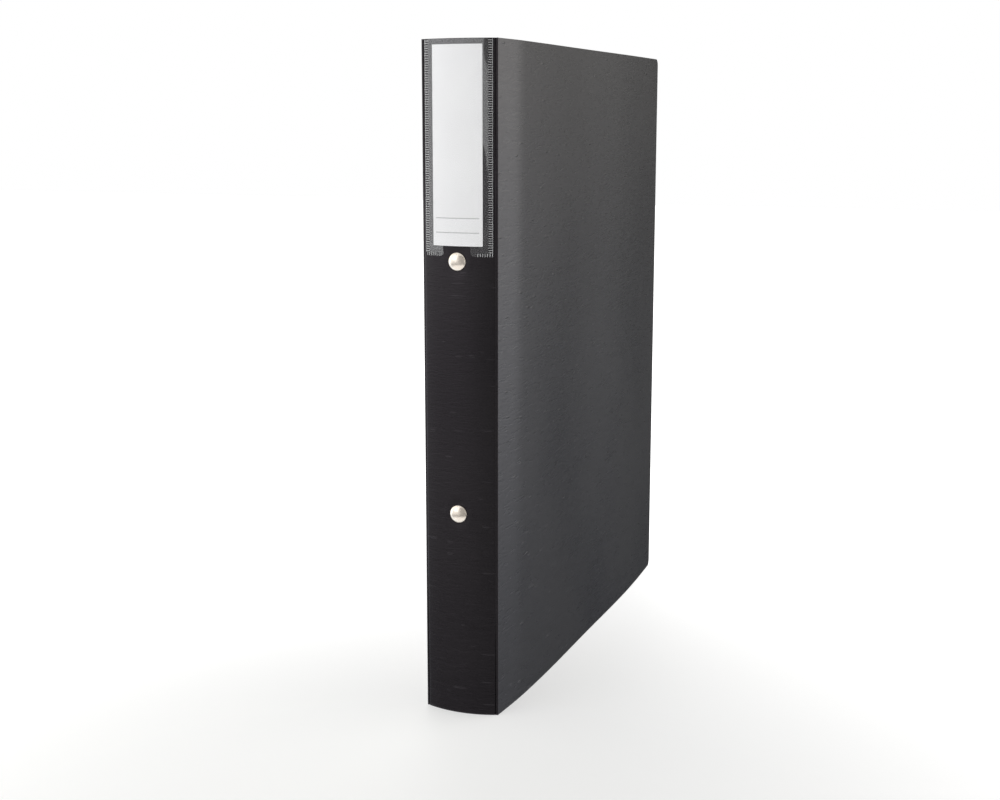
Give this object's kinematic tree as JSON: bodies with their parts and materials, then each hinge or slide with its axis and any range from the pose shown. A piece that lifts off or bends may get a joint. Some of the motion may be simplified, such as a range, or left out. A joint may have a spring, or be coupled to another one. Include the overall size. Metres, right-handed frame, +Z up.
{
  "type": "ring binder",
  "caption": "Slim A4 ring binder: creased plastic cover, clear label pocket with a card on the spine, and a riveted ring mechanism whose halves swing apart together.",
  "frame": {"origin": "middle of the bounding box, at the surface that the binder stands on", "axes": "+Z up the spine, -Y out of the spine, +X towards the front cover"},
  "size_m": [0.045, 0.2676, 0.315],
  "materials": {
    "cover_sheet": "black polypropylene sheet with a fine horizontal brushed emboss",
    "clear_film": "clear welded film with a faint haze",
    "paper_card": "smooth off-white uncoated card",
    "nickel_plate": "bright nickel plated spring steel",
    "blade_steel": "plain rolled steel strip",
    "rivet_nickel": "polished warm nickel"
  },
  "bodies": {
    "spine_unit": {"spine": "cover_sheet", "front_hinge": "cover_sheet", "back_hinge": "cover_sheet", "label_pocket": "clear_film", "ring_housing": "nickel_plate", "upper_rivet": "rivet_nickel", "lower_rivet": "rivet_nickel"},
    "front_cover": {"front_cover": "cover_sheet"},
    "back_cover": {"back_cover": "cover_sheet"},
    "label_card": {"label_card": "paper_card"},
    "left_rings": {"left_blade": "blade_steel", "upper_left_ring": "nickel_plate", "lower_left_ring": "nickel_plate"},
    "right_rings": {"right_blade": "blade_steel", "upper_right_ring": "nickel_plate", "lower_right_ring": "nickel_plate"}
  },
  "joints": [
    {"name": "front_cover_hinge", "type": "hinge", "parent": "spine_unit", "child": "front_cover", "pos_m": [0.0185, -0.1282, 0.1575], "axis": [0, 0, -1], "range_deg": [-2, 180], "deforming": ["front_hinge"]},
    {"name": "back_cover_hinge", "type": "hinge", "parent": "spine_unit", "child": "back_cover", "pos_m": [-0.0185, -0.1282, 0.1575], "axis": [0, 0, 1], "range_deg": [-2, 180], "deforming": ["back_hinge"]},
    {"name": "label_slide", "type": "slide", "parent": "spine_unit", "child": "label_card", "axis": [0, 0, 1], "range_m": [0, 0.0916]},
    {"name": "left_ring_swing", "type": "hinge", "parent": "spine_unit", "child": "left_rings", "pos_m": [-0.0093, -0.12849, 0.1575], "axis": [0, 0, 1], "range_deg": [0, 12]},
    {"name": "right_ring_swing", "type": "hinge", "parent": "spine_unit", "child": "right_rings", "pos_m": [0.0093, -0.12849, 0.1575], "axis": [0, 0, -1], "range_deg": [0, 12]}
  ],
  "couplings": [
    {"joint": "right_ring_swing", "follows": "left_ring_swing", "ratio": 1}
  ]
}
